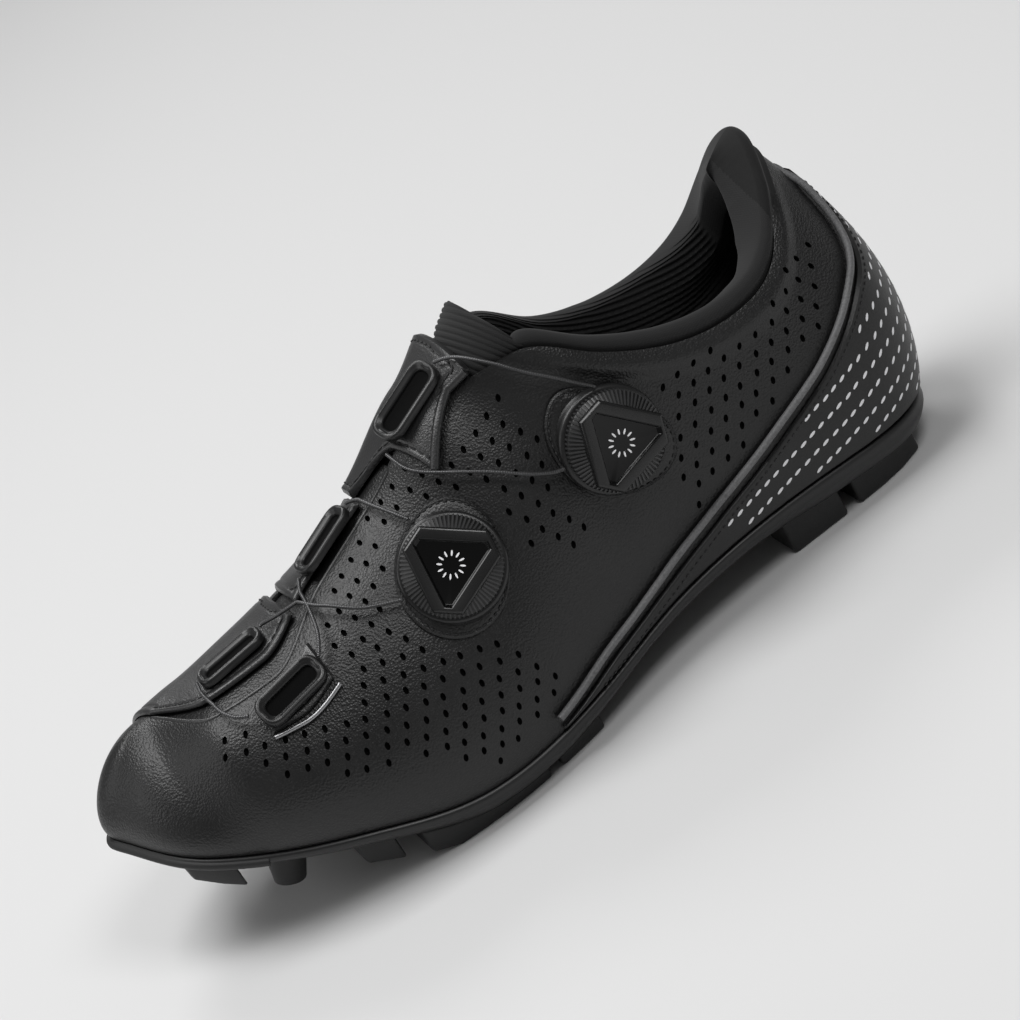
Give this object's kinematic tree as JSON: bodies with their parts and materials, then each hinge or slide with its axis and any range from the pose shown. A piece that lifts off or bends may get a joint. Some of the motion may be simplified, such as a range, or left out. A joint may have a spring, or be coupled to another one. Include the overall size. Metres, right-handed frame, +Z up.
{
  "type": "cycling shoe",
  "caption": "Low-cut left cycling shoe with a perforated leather upper, instep strap, twin wire dials, padded collar, heel counter and a lugged sole with cleat slots.",
  "frame": {"origin": "on the floor, under the centre of the shoe's box", "axes": "+X toward the heel, so the toe points to -X; +Y toward the inner side of the foot; +Z up from the floor"},
  "size_m": [0.282, 0.095, 0.1188],
  "materials": {
    "leather": "matte black fine-grained",
    "counter_synthetic": "matte synthetic",
    "tongue_knit": "ribbed knit",
    "collar_lining": "soft lining",
    "piping_tape": "grey grained tape",
    "sole_nylon": "satin",
    "tread_rubber": "matte",
    "guide_plastic": "satin",
    "dial_gloss": "glossy",
    "wire_steel": "dark steel cable",
    "screw_steel": "satin steel",
    "insole_foam": "flat black textile"
  },
  "bodies": {
    "root": {"upper": "leather", "wing_front": "leather", "wing_rear": "leather", "instep_strap": "leather", "lateral_tab": "leather", "heel_counter": "counter_synthetic", "tongue": "tongue_knit", "collar_pad": "collar_lining", "piping_lateral": "piping_tape", "piping_medial": "piping_tape", "sole_plate": "sole_nylon", "toe_lug_lateral": "tread_rubber", "toe_lug_medial": "tread_rubber", "forefoot_lug_front_lateral": "tread_rubber", "forefoot_lug_front_medial": "tread_rubber", "forefoot_lug_lateral": "tread_rubber", "forefoot_lug_medial": "tread_rubber", "forefoot_lug_rear_lateral": "tread_rubber", "forefoot_lug_rear_medial": "tread_rubber", "heel_lug_front_lateral": "tread_rubber", "heel_lug_front_medial": "tread_rubber", "heel_lug_rear_lateral": "tread_rubber", "heel_lug_rear_medial": "tread_rubber", "toe_stud_lateral": "tread_rubber", "toe_stud_medial": "tread_rubber", "guide_strap": "guide_plastic", "guide_rear": "guide_plastic", "guide_front": "guide_plastic", "guide_lateral": "guide_plastic", "dial_base_front": "guide_plastic", "dial_base_rear": "guide_plastic", "dial_knob_front": "guide_plastic", "dial_knob_rear": "guide_plastic", "dial_cap_front": "dial_gloss", "dial_cap_rear": "dial_gloss", "wire_rear_upper": "wire_steel", "wire_rear_lower": "wire_steel", "wire_front_upper": "wire_steel", "wire_cross": "wire_steel", "wire_toe_turn": "wire_steel", "cleat_screw_1": "screw_steel", "cleat_screw_2": "screw_steel", "cleat_screw_3": "screw_steel", "cleat_screw_4": "screw_steel", "tab_bar": "screw_steel", "insole": "insole_foam"}
  },
  "joints": []
}
